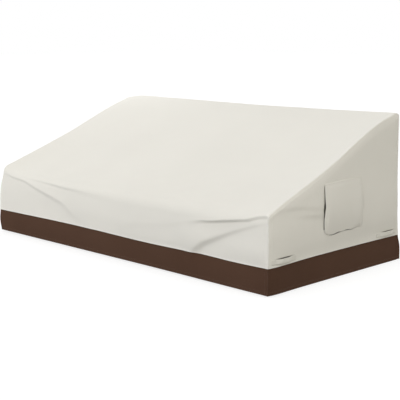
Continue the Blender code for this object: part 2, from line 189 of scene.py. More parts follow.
form = {
    "length": 2.24,
    "depth": 1.116,
    "cloth": 0.0014,
    "setIn": 0.0023,  # how far the band stands behind the light cloth's face
    "seamGap": 0.0003,  # between the front and the back panel along the crown
    "lap": 0.012,  # how far the band runs up behind the light cloth
    "edgeInset": 0.0044,  # a panel's side edge stands this far inside the cover's length
    "edgeDrop": 0.0020,
    "edgeRoll": 0.010,
    "frontRound": 0.032,
    "frontRoundMiddle": 0.050,
    "crownFlat": 0.058,
    "crownDrop": 0.030,
    "endRound": 0.052,
    "cornerRound": 0.055,
    "endRoll": 1.6,  # how sharply an end panel rolls over there
    "endSwell": 0.0028,  # how far an end panel stands out past its seams
    "endHold": 8.0,
    "seamHold": 0.016,
    "endArch": 0.004,
    "bandFade": 2.0,
    # y, and the top's height at the left end, in the middle and at the right end
    "stations": (
        (-0.56, 0.404, 0.365, 0.385),
        (-0.41, 0.453, 0.420, 0.446),
        (-0.20, 0.523, 0.502, 0.523),
        (0.00, 0.592, 0.584, 0.605),
        (0.20, 0.671, 0.677, 0.700),
        (0.36, 0.733, 0.747, 0.767),
        (0.50, 0.781, 0.794, 0.812),
        (0.56, 0.802, 0.813, 0.829),
    ),
    # x and how far the crown stands above its stations there
    "crownRise": ((-1.137, -0.0080), (-1.09, -0.0010), (-1.04, 0.0035), (-0.98, 0.0062), (-0.90, 0.0060),
                  (-0.83, 0.0045), (-0.74, 0.0020), (-0.57, 0.0018), (-0.35, 0.0), (0.05, -0.0012), (0.45, 0.0010),
                  (0.72, 0.0035), (0.87, 0.0048), (0.97, 0.0030), (1.04, 0.0010), (1.09, -0.0035), (1.137, -0.0110)),
    "crownFrom": (0.30, 0.22),  # it counts behind this y, and fully this much further back
    "sag": (0.0040, 0.0070),  # the right end hangs this much lower than the left, at the front and at the back
    "sagFrom": (0.20, 0.90),  # from this x on, and fully this much further on
    "sagBelow": (0.10, 0.35),  # it is full below this height and gone this much above it
    # how far each upright corner stands inside the hem's rectangle at these heights
    "insetHeights": (0.0, 0.07, 0.131, 0.27, 0.39, 0.82),
    "corners": (
        (-1, -1, (-0.001, -0.0070, -0.0035, 0.002, 0.019, 0.028)),
        (1, -1, (0.000, -0.002, 0.003, 0.009, 0.020, 0.027)),
        (1, 1, (-0.008, -0.006, 0.002, 0.008, 0.011, 0.015)),
        (-1, 1, (0.000, -0.004, 0.000, 0.008, 0.016, 0.022)),
    ),
    # x, and the height of the band's upper edge along the front and the back
    "bandEdges": (
        (-1.12, 0.1310, 0.133),
        (-0.60, 0.1345, 0.131),
        (-0.20, 0.1340, 0.129),
        (0.25, 0.1275, 0.130),
        (0.60, 0.1310, 0.132),
        (0.85, 0.1285, 0.134),
        (1.00, 0.1315, 0.136),
        (1.12, 0.1345, 0.137),
    ),
}
halfLength = form["length"] / 2
halfDepth = form["depth"] / 2
seamInset, seamDrop = form["edgeInset"], form["edgeDrop"]
seamX = halfLength - seamInset


def curveThrough(places, values, t):
    # smooth value at t; each of values is one number or an array of t's shape
    places = np.asarray(places, float)
    t = np.clip(np.asarray(t, float), places[0], places[-1])
    values = np.stack([np.broadcast_to(np.asarray(value, float), t.shape) for value in values])
    last = len(places) - 1
    k = np.clip(np.searchsorted(places, t, side="right") - 1, 0, last - 1)

    def pick(i):
        return np.take_along_axis(values, i[None], 0)[0]

    def rate(i):
        low, high = np.maximum(i - 1, 0), np.minimum(i + 1, last)
        return (pick(high) - pick(low)) / (places[high] - places[low])

    span = places[k + 1] - places[k]
    s = (t - places[k]) / span
    ends = (1 + 2 * s) * (1 - s) ** 2 * pick(k) + s * s * (3 - 2 * s) * pick(k + 1)
    pulls = s * (1 - s) ** 2 * span * rate(k) + s * s * (s - 1) * span * rate(k + 1)
    return ends + pulls


def readTable(rows, t, column=1):
    # smooth value at t from a table whose rows begin with their places
    return curveThrough([row[0] for row in rows], [row[column] for row in rows], t)


def ease(distance, reach):
    s = np.clip(distance / reach, 0.0, 1.0)
    return s * s * (3 - 2 * s)


def fade(distance, width):
    return np.exp(-((distance / width) ** 2))


def taper(x, y, z):
    # from the straight-sided cover to where the leaning, bulging walls hold it
    front, back = form["sag"]
    (startX, overX), (startZ, overZ) = form["sagFrom"], form["sagBelow"]
    sag = front + (back - front) * (1 + y / halfDepth) / 2
    z = z - sag * ease(x - startX, overX) * (1 - ease(z - startZ, overZ))
    inset = 0.0
    for sideX, sideY, insets in form["corners"]:
        share = (1 + sideX * x / halfLength) * (1 + sideY * y / halfDepth) / 4
        inset = inset + share * curveThrough(form["insetHeights"], insets, z)
    return np.stack((x * (1 - inset / halfLength), y * (1 - inset / halfDepth), z + 0 * x), -1)


def bandTop(x, y):
    front, back = (readTable(form["bandEdges"], x, column) for column in (1, 2))
    return front + (back - front) * (1 + y / halfDepth) / 2 + form["endArch"] * (1 - (y / halfDepth) ** 2)


def topHeight(x, y):
    x, y = np.broadcast_arrays(np.asarray(x, float), np.asarray(y, float))
    held = np.abs(x / halfLength) ** form["endHold"]
    values = [middle + held * (np.where(x < 0, left, right) - middle)
              for _, left, middle, right in form["stations"]]
    start, over = form["crownFrom"]
    rise = readTable(form["crownRise"], x) * ease(y - start, over)
    return curveThrough([row[0] for row in form["stations"]], values, y) + rise


ledge = {
    "steps": 7,  # from one of its rows to the next
    "widths": 6,  # its relief fades away over so many of its widths, and this much more above and below its line
    "above": 0.05,
    "below": 0.12,
    "crestAbove": 0.022,  # its crest fades away over this much above the line
    "crestBelow": 1.3,  # and over so many widths below it
}


def foldRelief(table, across, up):
    # how far the listed folds push the cloth out. A ledge's rows are across, up, slope on its line, the widths
    # above and below it (above is the left of its direction) and its crest: the cloth stands out over the line and
    # falls back under it. A soft trough's rows are across, up, depth and width
    relief = np.zeros(np.shape(across))
    for rows in table:
        rows = np.array(rows, float)
        run = np.concatenate(([0.0], np.cumsum(np.hypot(np.diff(rows[:, 0]), np.diff(rows[:, 1])))))
        t = np.linspace(0.0, run[-1], ledge["steps"] * len(rows))
        spine = np.stack([curveThrough(run, column, t) for column in rows.T], 1)
        reach = 2 * ledge["below"] + 1.5 * ledge["widths"] * rows[:, 3:5].max()
        low, high = rows[:, :2].min(0) - reach, rows[:, :2].max(0) + reach
        close = (across > low[0]) & (across < high[0]) & (up > low[1]) & (up < high[1])
        a, u = across[close], up[close]
        nearest, found = np.full(a.size, 1e9), np.zeros((rows.shape[1] - 1, a.size))
        for start, end in zip(spine[:-1], spine[1:]):
            way = end[:2] - start[:2]
            share = np.clip(((a - start[0]) * way[0] + (u - start[1]) * way[1]) / (way @ way), 0.0, 1.0)
            offA, offU = a - start[0] - way[0] * share, u - start[1] - way[1] * share
            away = np.hypot(offA, offU)
            side = np.where(way[0] * offU >= way[1] * offA, away, -away)
            rest = start[2:, None] + (end - start)[2:, None] * share
            found = np.where(away < nearest, np.vstack((side, rest)), found)
            nearest = np.minimum(nearest, away)
        side = found[0]
        if len(found) == 5:
            _, slope, above, below, crest = found
            width = np.where(side > 0, above, below)
            spread = ledge["widths"] * width + np.where(side > 0, ledge["above"], ledge["below"])
            relief[close] += slope * width * np.tanh(side / width) * fade(side, spread)
            fall = np.where(side > 0, -side / ledge["crestAbove"], -((side / (ledge["crestBelow"] * below)) ** 2))
            relief[close] += crest * np.exp(fall)
        else:
            relief[close] -= found[1] * fade(side, found[2])
    return relief


def softWaves(across, up, seed, size, stretch=1.0):
    # gentle unevenness, mostly between -1 and 1: a few seeded waves of about that size, stretched upwards
    dice, total, count = np.random.default_rng(seed), 0.0, 8
    for _ in range(count):
        turn, length, start = dice.uniform(0, math.pi), size * dice.uniform(0.7, 1.6), dice.uniform(0, 2 * math.pi)
        way = across * math.cos(turn) + up * math.sin(turn) / stretch
        total = total + np.sin(2 * math.pi * way / length + start)
    return 2 * total / count


def outward(points):
    # unit normals of a grid of columns that run to the right and rows that run up, seen from outside
    normals = np.cross(np.gradient(points, axis=0), np.gradient(points, axis=1))
    return normals / np.maximum(np.linalg.norm(normals, axis=-1, keepdims=True), 1e-12)


# distances from a panel's ends, and heights above the light cloth's lower edge, that stitches and steps need
near = {
    "ends": (seamInset + 0.00015, 0.0055, 0.0068, 0.0084, 0.0105, 0.0135, 0.017, 0.021, 0.0235, 0.0250, 0.0265, 0.028,
             0.0295, 0.0315, 0.035, 0.041, 0.050),
    "edge": (0.0, 0.0010, 0.0024, 0.0042, 0.0065, 0.0085, 0.0105, 0.0125, 0.015),
    "hem": (0.0, 0.0010, 0.0030, 0.0060, 0.0100, 0.0140, 0.0165, 0.0185, 0.0205, 0.0230, 0.0270),
    "top": (0.044, 0.034, 0.026, 0.019, 0.0145, 0.011, 0.0085, 0.0065, 0.0045, 0.0025, 0.0010, 0.00015),
    "topStitch": 4,  # which of "ends" carries the stitching beside a seam
    "facingStitch": 10,  # and the stitching along the doubled cloth at an upright corner
    "edgeStitch": 3,  # which of "edge" carries the stitching along the lower edge
    "hemStitch": 6,
    "seamStitch": 0.0065,  # the stitching below the seam along the slope
    "sideStitch": 0.006,  # and beside the upright corners
}
mesh = {"spanSteps": 200, "wallSteps": 56, "foldSteps": 28, "crownSteps": 14, "backSteps": 62, "bandSteps": 10,
        "lowSteps": 12, "lowTop": 0.182, "endSteps": 104}  # an end panel has the low steps up to lowTop
# y along the slope and steps between: the vent's edge and the back corner need the close ones
slopeSpans = ((-0.508, -0.140, 24), (-0.140, -0.095, 13), (-0.095, 0.440, 34), (0.440, 0.500, 9))


def spanX():
    edge = halfLength - np.array(near["ends"])
    flat = edge[-1] * np.linspace(-1, 1, mesh["spanSteps"] + 1)[1:-1]
    return np.concatenate((-edge, flat, edge[::-1]))


def endDrop(x):
    # how far the rolled edge has dropped this close to the panel's end
    d = np.clip((halfLength - np.abs(x) - seamInset) / form["edgeRoll"], 0.0, 1.0)
    return seamDrop * (1 - d) ** 2


def seamHold(x):
    return ease(halfLength - np.abs(x) - seamInset, form["seamHold"])


def wallRows(low, top, count):
    rows = [low + offset for offset in near["edge"]]
    start = rows[-1]
    return rows + [start + (top - start) * step / count for step in range(1, count + 1)]


def rounded(start, corner, end, count):
    points = []
    for step in range(1, count + 1):
        s = step / count
        points.append([a * (1 - s) ** 2 + b * 2 * s * (1 - s) + c * s * s for a, b, c in zip(start, corner, end)])
    return points


def section(x):
    # the front panel's section at each x: y, z, the outward normal's two parts and the run of cloth
    held = np.abs(x / halfLength) ** form["endHold"]
    reach = form["frontRoundMiddle"] + held * (form["frontRound"] - form["frontRoundMiddle"])
    y = 0 * x
    front, wallEnd = topHeight(x, -halfDepth), topHeight(x, -halfDepth) - reach
    slopeY, crownY = reach - halfDepth, halfDepth - form["crownFlat"] + y
    points = [(y - halfDepth, z) for z in wallRows(bandTop(x, -halfDepth), wallEnd, mesh["wallSteps"])]
    slopeStart, crownStart = (slopeY, topHeight(x, slopeY)), (crownY, topHeight(x, crownY))
    points += rounded((y - halfDepth, wallEnd), (y - halfDepth, front), slopeStart, mesh["foldSteps"])
    for start, end, count in slopeSpans:
        first = np.maximum(start, slopeY)
        for step in range(1, count + 1):
            there = first + (end - first) * step / count
            points.append((there, topHeight(x, there)))
    crown = topHeight(x, halfDepth)
    crownEnd = (halfDepth + y, crown - form["crownDrop"])
    points += rounded(crownStart, (halfDepth + y, crown), crownEnd, mesh["crownSteps"])
    y, z = (np.stack([point[i] for point in points], -1) for i in (0, 1))
    alongY, alongZ = np.gradient(y, axis=-1), np.gradient(z, axis=-1)
    length = np.hypot(alongY, alongZ)
    steps = np.hypot(np.diff(y, axis=-1), np.diff(z, axis=-1))
    run = z[..., :1] + np.concatenate((0 * z[..., :1], np.cumsum(steps, -1)), -1)
    return y, z, -alongZ / length, alongY / length, run


# ---- folds, placed from the picture on the front and right, and guessed elsewhere

folds = {
    # x and run of cloth
    "front": (
        ((-0.99, 0.359, 0, 0.003, 0.005, 0), (-0.886, 0.3584, 0.25, 0.003, 0.005, 0.001),
         (-0.755, 0.353, 0.42, 0.003, 0.005, 0.002), (-0.631, 0.3484, 0.75, 0.003, 0.005, 0.003),
         (-0.509, 0.3414, 0.75, 0.003, 0.005, 0.003), (-0.382, 0.34, 0.45, 0.005, 0.008, 0.003),
         (-0.262, 0.338, 0.22, 0.01, 0.012, 0.002), (-0.137, 0.337, 0.1, 0.018, 0.016, 0.001),
         (0.05, 0.334, 0, 0.024, 0.02, 0)),
        ((-1.11, 0.366, 0.12, 0.003, 0.007, 0.001), (-1.065, 0.36, 0.18, 0.003, 0.007, 0.001),
         (-1.004, 0.3515, 0.3, 0.003, 0.006, 0.003), (-0.875, 0.338, 0.39, 0.003, 0.006, 0.005),
         (-0.758, 0.313, 0.25, 0.005, 0.01, 0.006), (-0.652, 0.2945, 0.18, 0.008, 0.013, 0.008),
         (-0.563, 0.2745, 0.18, 0.01, 0.014, 0.007), (-0.471, 0.253, 0.12, 0.013, 0.017, 0.005),
         (-0.388, 0.204, 0.13, 0.016, 0.022, 0.003), (-0.298, 0.166, 0.1, 0.02, 0.024, 0.001),
         (-0.2, 0.12, 0, 0.026, 0.026, 0)),
        ((0, 0.168, 0, 0.02, 0.024, 0), (0.12, 0.202, 0.05, 0.018, 0.022, 0), (0.272, 0.226, 0.08, 0.014, 0.02, 0),
         (0.425, 0.248, 0.1, 0.01, 0.016, 0), (0.544, 0.278, 0.11, 0.01, 0.016, 0),
         (0.592, 0.289, 0.22, 0.006, 0.012, 0.001), (0.655, 0.304, 0.62, 0.003, 0.009, 0.003),
         (0.707, 0.3095, 1.3, 0.0025, 0.006, 0.005), (0.764, 0.3165, 2, 0.0025, 0.005, 0.006),
         (0.821, 0.3255, 2.1, 0.0025, 0.005, 0.006), (0.876, 0.334, 2, 0.0025, 0.005, 0.006),
         (0.93, 0.3425, 1.8, 0.0025, 0.005, 0.005), (0.978, 0.3495, 1.7, 0.0025, 0.005, 0.004),
         (1.023, 0.363, 1.7, 0.0025, 0.004, 0.004), (1.071, 0.3755, 1.9, 0.0025, 0.004, 0.003),
         (1.112, 0.38, 1.7, 0.0025, 0.004, 0.003)),
        ((0.552, 0.098, 0, 0.012, 0.016, 0), (0.59, 0.123, 0.36, 0.012, 0.014, 0),
         (0.629, 0.1533, 0.72, 0.012, 0.013, 0), (0.677, 0.1875, 0.88, 0.011, 0.012, 0),
         (0.742, 0.218, 0.86, 0.01, 0.012, 0), (0.808, 0.246, 0.74, 0.009, 0.011, 0),
         (0.878, 0.2755, 0.64, 0.007, 0.01, 0), (0.946, 0.3, 0.54, 0.005, 0.009, 0),
         (1.011, 0.321, 0.38, 0.005, 0.008, 0), (1.051, 0.334, 0.24, 0.004, 0.008, 0),
         (1.097, 0.346, 0, 0.004, 0.008, 0)),
        # the wall bulges between its roll and its lower seam, and tucks under beside the seam
        ((-0.85, 0.26, 0, 0.06), (-0.5, 0.25, -0.0025, 0.065), (-0.28, 0.228, -0.0043, 0.07),
         (0, 0.21, -0.0045, 0.065), (0.3, 0.205, -0.004, 0.07), (0.46, 0.205, -0.0038, 0.07),
         (0.6, 0.215, -0.0045, 0.06), (0.75, 0.205, -0.002, 0.045), (0.9, 0.205, -0.0045, 0.045),
         (1.06, 0.205, -0.005, 0.05)),
        ((-0.2, 0.128, 0, 0.024), (0.1, 0.128, 0.0015, 0.024), (0.32, 0.13, 0.0022, 0.024),
         (0.44, 0.134, 0.0035, 0.026), (0.54, 0.134, 0.0035, 0.026), (0.66, 0.128, 0.0024, 0.022),
         (0.8, 0.128, 0.0034, 0.024), (0.94, 0.132, 0.004, 0.027), (1.08, 0.132, 0.003, 0.028)),
        ((-0.96, 1.2, 0.002, 0.07), (-0.7, 0.9, 0.004, 0.07), (-0.55, 0.66, 0.002, 0.07)),
        ((0.96, 1.47, 0, 0.02), (1.04, 1.5, 0.0012, 0.018), (1.1, 1.525, 0.0012, 0.014)),
        ((-1.1, 1.5, 0.0012, 0.016), (-1.04, 1.46, 0.0012, 0.02), (-0.95, 1.42, 0, 0.024)),
    ),
    # y and height
    "right": (
        ((-0.552, 0.365, 0.2, 0.008, 0.006, 0), (-0.515, 0.38, 0.27, 0.009, 0.006, 0),
         (-0.47, 0.392, 0.29, 0.009, 0.006, 0), (-0.413, 0.3965, 0.29, 0.009, 0.006, 0),
         (-0.3, 0.3895, 0.27, 0.009, 0.006, 0), (-0.22, 0.3785, 0.26, 0.009, 0.007, 0),
         (-0.153, 0.369, 0.24, 0.009, 0.008, 0), (-0.105, 0.3615, 0.05, 0.01, 0.01, 0),
         (-0.08, 0.357, 0, 0.01, 0.01, 0)),
        ((-0.38, 0.352, 0, 0.012, 0.01, 0), (-0.32, 0.348, 0.14, 0.012, 0.01, 0),
         (-0.26, 0.343, 0.28, 0.012, 0.01, 0), (-0.19, 0.336, 0.34, 0.012, 0.01, 0),
         (-0.14, 0.33, 0.24, 0.012, 0.01, 0), (-0.11, 0.327, 0, 0.012, 0.01, 0)),
        ((-0.48, 0.185, 0, 0.035, 0.045, 0), (-0.33, 0.188, 0.12, 0.03, 0.045, 0),
         (-0.1, 0.192, 0.16, 0.035, 0.045, 0), (0.1, 0.2, 0.18, 0.04, 0.045, 0), (0.35, 0.205, 0.2, 0.045, 0.045, 0),
         (0.545, 0.205, 0.19, 0.045, 0.045, 0)),
        ((-0.56, 0.3, -0.003, 0.08), (-0.3, 0.32, -0.0035, 0.08), (0.1, 0.35, -0.0045, 0.09),
         (0.4, 0.36, -0.0045, 0.09), (0.56, 0.36, -0.003, 0.09)),
        ((-0.34, 0.122, 0, 0.022), (-0.2, 0.122, 0.0012, 0.022), (0.2, 0.122, 0.0015, 0.022),
         (0.54, 0.122, 0.001, 0.022)),
    ),
    # x and height
    "back": (
        ((-1.05, 0.72, 0.003, 0.06), (-0.84, 0.55, 0.008, 0.06), (-0.7, 0.33, 0.003, 0.06)),
        ((1.05, 0.73, 0.003, 0.06), (0.88, 0.58, 0.007, 0.06), (0.78, 0.38, 0.003, 0.06)),
        ((-1.1, 0.768, 0.12, 0.006, 0.008, 0), (-0.98, 0.742, 0.22, 0.007, 0.01, 0),
         (-0.82, 0.712, 0.18, 0.012, 0.014, 0), (-0.6, 0.69, 0, 0.018, 0.02, 0)),
        ((0.56, 0.694, 0, 0.018, 0.02, 0), (0.78, 0.714, 0.17, 0.012, 0.014, 0), (0.96, 0.744, 0.21, 0.007, 0.01, 0),
         (1.1, 0.77, 0.12, 0.006, 0.008, 0)),
        ((-0.3, 0.78, 0, 0.04), (-0.26, 0.55, 0.003, 0.045), (-0.3, 0.2, 0, 0.05)),
        ((0.24, 0.78, 0, 0.04), (0.3, 0.5, 0.0026, 0.05), (0.26, 0.18, 0, 0.05)),
        ((-0.8, 0.15, 0.004, 0.04), (-0.74, 0.22, 0.005, 0.04), (-0.62, 0.33, 0, 0.05)),
    ),
}
leftShare = 0.7  # the hidden end's folds against those of the end that shows


# ---- panels and bands

# where the cloth is turned in, doubled, stitched down and gathered, and how high that stands. A layer is given by how
# far from the edge it ends, and its thickness
turned = {
    "soft": 0.0014,  # half the length over which a layer ends
    "corner": (0.0285, 0.0006),  # at the ends of the long panels
    "bandCorner": (0.0285, 0.0005),
    "lower": (0.0085, 0.0005),  # along the light panels' lower edge
    "hem": (0.0195, 0.0007),
    "facing": (0.0020, 0.0012),  # past the stitching along an end panel's corners
    "facings": {-1: 0.0270, 1: 0.0400},  # and how far that stitching is from the front and the back corner
    "flapHem": (0.0140, 0.0006),
    "flapSeam": (0.0080, 0.0004),
    "grooveWidth": 0.0035,
    "groove": (0.0265, 0.0008),  # the stitching beside a long panel's end: where, and how deep it pulls
    "facingGroove": 0.0014,
    "topDip": (0.0040, 0.0012),  # the back panel's upper edge tucks in: over how much, how deep
    "pucker": (0.0350, 0.0005),  # the seams gather the cloth: length and height of the gathers
    "puckerFrom": (0.050, 0.040),  # gone this far from a long panel's end, full this much nearer
    "endPuckerFrom": (0.035, 0.030),
    "cornerStart": (0.004, 0.004),  # a long panel's turned-in edge starts this far from its end, over this much
    "endStart": (0.006, 0.004),  # an end panel's puckers and its turned-in edge start over this much
    "backWave": (0.02, 0.10),  # the back's waves are gone this far below its lower edge and full this much above that
    "bandWave": (0.02, 0.08),
    "bandStart": (0.02, 0.003),  # a band's waves and its hem start over this much from its ends
}
# painted highlight: how much paler an edge is painted, and over what width; the webbing's edges get painted shade
# instead
paintedEdgeLights = {
    "lower": (1.0, 0.005),
    "seam": (0.55, 0.004),
    "top": (0.5, 0.004),
    "hem": (0.7, 0.002),
    "bandEnd": (0.4, 0.004),
    "flapOpen": (0.8, 0.004),
    "flapLow": (0.15, 0.003),
    "webbing": (0.5, 0.12),  # a share of its width
}
# painted highlight on the doubled cloth too: how much on each panel, how wide it is and how softly it ends
paintedFacingHighlight = {"front": 0.14, "back": 0.30, "width": 0.027, "soft": 0.003}
# soft unevenness: how high, seed, size and stretch upwards
waves = {
    "front": ((0.0011, 11, 0.55, 1.0), (0.0004, 12, 0.13, 1.0)),
    "back": ((0.0022, 21, 0.42, 4.0), (0.0008, 22, 0.16, 2.0)),
    "right": ((0.0012, 31, 0.35, 2.0), (0.0004, 32, 0.12, 1.5)),
    "left": ((0.0012, 41, 0.35, 2.0), (0.0004, 42, 0.12, 1.5)),
    "frontBand": ((0.0009, 51, 0.22, 3.0),),
    "backBand": ((0.0009, 53, 0.22, 3.0),),
    "rightBand": ((0.0009, 55, 0.22, 3.0),),
    "leftBand": ((0.0009, 57, 0.22, 3.0),),
    "rightFlap": ((0.0008, 61, 0.16, 1.0),),
    "leftFlap": ((0.0008, 62, 0.16, 1.0),),
}
puckerSeeds = {"front": 13, "back": 23, "right": 33, "left": 43}
sides = {"right": 1, "left": -1}
sideNames = {1: "right", -1: "left"}


def unevenness(panel, across, up):
    return sum(height * softWaves(across, up, seed, size, stretch) for height, seed, size, stretch in waves[panel])


def puckers(panel, share, across, up):
    size, height = turned["pucker"]
    return height * share * softWaves(across, up, puckerSeeds[panel], size)


def layer(distance, kind):
    # a doubled layer's height at this distance from the edge
    place, height = turned[kind]
    return height * (1 - ease(distance - place + turned["soft"], 2 * turned["soft"]))


def paintedEdgeLight(distance, kind):
    # share of the edge colour at this distance from the edge: a painted highlight, and painted shade on the webbing
    share, width = paintedEdgeLights[kind]
    return share * fade(distance, width)


def groove(distance, place, depth):
    # the stitching pulls the cloth in
    return depth * fade(distance - place, turned["grooveWidth"])


def longPanel(panel, out, fromEnd, overEdge, gathers):
    # adds a long panel's puckers, doubled ends and turned-in lower edge, and says how much painted highlight its edges
    # get
    (start, over), (first, overFirst) = turned["puckerFrom"], turned["cornerStart"]
    out = out + puckers(panel, ease(start - fromEnd, over), *gathers)
    out = out + layer(fromEnd, "corner") - groove(fromEnd, *turned["groove"])
    out = out + layer(overEdge, "lower") * ease(fromEnd - first, overFirst)
    edge = np.maximum(paintedEdgeLight(overEdge, "lower"), paintedEdgeLight(fromEnd - seamInset, "seam"))
    facing = paintedFacingHighlight[panel] * (1 - ease(fromEnd - paintedFacingHighlight["width"], paintedFacingHighlight["soft"]))
    return out, np.maximum(edge, facing)


def frontGrid():
    x = spanX()
    y, z, normalY, normalZ, run = section(x)
    x = np.broadcast_to(x[:, None], y.shape)
    hold = seamHold(x)
    out = hold * foldRelief(folds["front"], x, run) - endDrop(x)
    out = out + hold * unevenness("front", x, run)
    out, edge = longPanel("front", out, halfLength - np.abs(x), run - run[:, :1], (x * 0, run))
    return gridOf(taper(x, y + normalY * out, z + normalZ * out), x, run, edge, False)


def backGrid():
    x = spanX()[::-1]
    top = topHeight(x, halfDepth) - form["crownDrop"] - form["seamGap"]
    z = np.stack(wallRows(bandTop(x, halfDepth), top, mesh["backSteps"]), -1)
    x = np.broadcast_to(x[:, None], z.shape)
    overEdge, fromTop = z - z[:, :1], top[:, None] - z
    hold = seamHold(x) * ease(fromTop, form["seamHold"])
    out = hold * foldRelief(folds["back"], x, z) - endDrop(x)
    low, above = turned["backWave"]
    out = out + hold * ease(overEdge + low, above) * unevenness("back", x, z)
    out, edge = longPanel("back", out, halfLength - np.abs(x), overEdge, (z, 0 * z))
    over, depth = turned["topDip"]
    points = taper(x, halfDepth + out - depth * fade(fromTop, over), z)
    return gridOf(points, -x, z, np.maximum(edge, paintedEdgeLight(fromTop, "top")), False)


def endOut(side, y, z, top):
    # how far an end panel stands out from its plane
    fromFront, fromBack, fromTop = y + halfDepth - seamDrop, halfDepth - seamDrop - y, top - z
    corner, roll, hold = form["cornerRound"], 0.0, 1.0
    for distance, reach in ((fromFront, corner), (fromBack, corner), (fromTop, form["endRound"])):
        roll = np.maximum(roll, (1 - np.clip(distance / reach, 0.0, 1.0)) ** form["endRoll"])
        hold = hold * ease(distance, form["seamHold"])
    share, swell = (1.0 if side > 0 else leftShare), form["endSwell"]
    return share * hold * foldRelief(folds["right"], y, z) + swell - (seamInset + swell) * roll, hold


def endColumns(side):
    # y and z of the seam along the slope, at each column of an end panel
    y, z, normalY, normalZ, _ = section(np.array([side * seamX]))
    first = len(near["edge"]) + mesh["wallSteps"] - 1
    seamY, seamZ = (y - normalY * seamDrop)[0, first:], (z - normalZ * seamDrop)[0, first:]
    seamY[0], seamY[-1] = seamDrop - halfDepth, halfDepth - seamDrop
    return seamY, seamZ


def gridOf(points, across, up, edge, turn, **more):
    # a grid of cloth whose columns run to the right, seen from outside
    # edge is how much painted highlight the cloth gets along its seams and edges
    grid = {"points": points, "uv": np.stack((across, up), -1), "edge": edge, **more}
    return {key: value[::-1] for key, value in grid.items()} if turn else grid


flap = {
    "columns": 60,
    "rows": 56,
    "cloth": 0.0016,
    "seamLift": 0.0006,
    "openLift": (0.0075, 1.7, 0.8),  # how far the open edge stands off, and how fast that goes inwards and upwards
    "sewnLift": 0.0040,
    "sewnFrom": (0.70, 0.25),  # from this share of its width on, and fully this much further on
    "sewnRoll": (0.0008, 0.0035),  # but it comes down at the sewn edge
    "sewnFoot": (0.004, 0.02),  # and at its lower end
    "hemLift": (0.0035, 9),  # the lower edge, most near the open side, and how fast that goes upwards
    # along that edge: from where and over what share it begins, how much and how fast it waves, and how much it falls
    # off, from where and over what share
    "billow": ((0.02, 0.14), (0.25, 9), (0.75, 0.25, 0.70)),
    "puff": 0.0012,
    "puffFrom": 0.03,  # full this far from the edges
    "belly": (0.0068, 0.355, 0.105),  # it stands out most in the middle: how far, at what z, over what height
    "paintedShadeAmount": (0.030, 0.055),  # painted shade makes it a little darker than the panel, at its top and at its lower edge
    "openEdge": ((0.0, -0.123), (0.05, -0.129), (0.16, -0.1325), (0.28, -0.133), (0.40, -0.131), (0.54, -0.1255),
                 (0.65, -0.125), (0.78, -0.1225), (1.0, -0.117)),
    "sewnEdge": ((0.0, 0.180), (0.40, 0.197), (0.75, 0.195), (1.0, 0.188)),
    "lowEdge": ((0.0, 0.2400), (0.05, 0.2345), (0.12, 0.2310), (0.22, 0.2305), (0.34, 0.2355), (0.46, 0.2345),
                (0.58, 0.2385), (0.72, 0.2340), (0.86, 0.2385), (1.0, 0.2350)),
    "highEdge": ((0.0, 0.4935), (0.5, 0.4975), (1.0, 0.4985)),
    # a soft trough above its lower edge and small pinches near the sewn corner
    "pinches": (
        ((-0.11, 0.260, 0.0003, 0.022), (-0.04, 0.266, 0.0010, 0.020), (0.10, 0.269, 0.0014, 0.020),
         (0.17, 0.270, 0.0004, 0.020)),
        ((0.148, 0.300, 0.0, 0.007), (0.152, 0.270, 0.0022, 0.007), (0.155, 0.236, 0.0022, 0.006)),
        ((0.176, 0.320, 0.0, 0.006), (0.178, 0.280, 0.0024, 0.006), (0.180, 0.236, 0.0018, 0.006)),
    ),
    "stitchesIn": {"open": 5, "sewn": 2, "low": 5, "high": 2},  # columns and rows in from its edges
}
gaps = {
    # painted shade under the flap: z and the front edge of the darkened cloth there
    "ventEdge": ((0.250, -0.1355), (0.335, -0.1308), (0.352, -0.1335), (0.368, -0.1355), (0.384, -0.1325),
                 (0.400, -0.1268), (0.489, -0.1215)),
    "ventDepth": 0.318,
    "ventTop": 0.489,
    # y, and how far down the painted shade shows below the flap there
    "ventLow": ((-0.145, 0.266), (-0.128, 0.262), (-0.118, 0.250), (-0.104, 0.244), (-0.090, 0.2350),
                (-0.072, 0.2292), (-0.040, 0.2290), (-0.010, 0.2326), (0.05, 0.2368), (0.10, 0.2345),
                (0.135, 0.2390), (0.165, 0.2425), (0.19, 0.248)),
    "ventSoft": {"open": 0.003, "sewn": 0.020, "low": 0.004, "top": 0.010},
    # painted shade beside its sewn edge: the heights of that edge's table, how dark, how far past it, and how softly
    # it ends
    "sewnHeights": (0.232, 0.335, 0.425, 0.498),
    "sewnShade": 0.22,
    "sewnReach": (0.010, 0.004),
    "sewnEnds": (0.236, 0.497, 0.01),
    "straps": ((-0.524, -0.361), (0.356, 0.533)),  # painted shade behind each handle: y from and to
    "strapLow": (0.150, 0.004),  # z, and how softly it ends
    "strapTop": (0.1695, 0.003),
    # it is higher in the middle: how much, how flat the arch is, its share at the front and what the back has more
    "strapRise": (0.0080, 0.22, 0.85, 0.20),
    "strapEnds": 0.05,
}


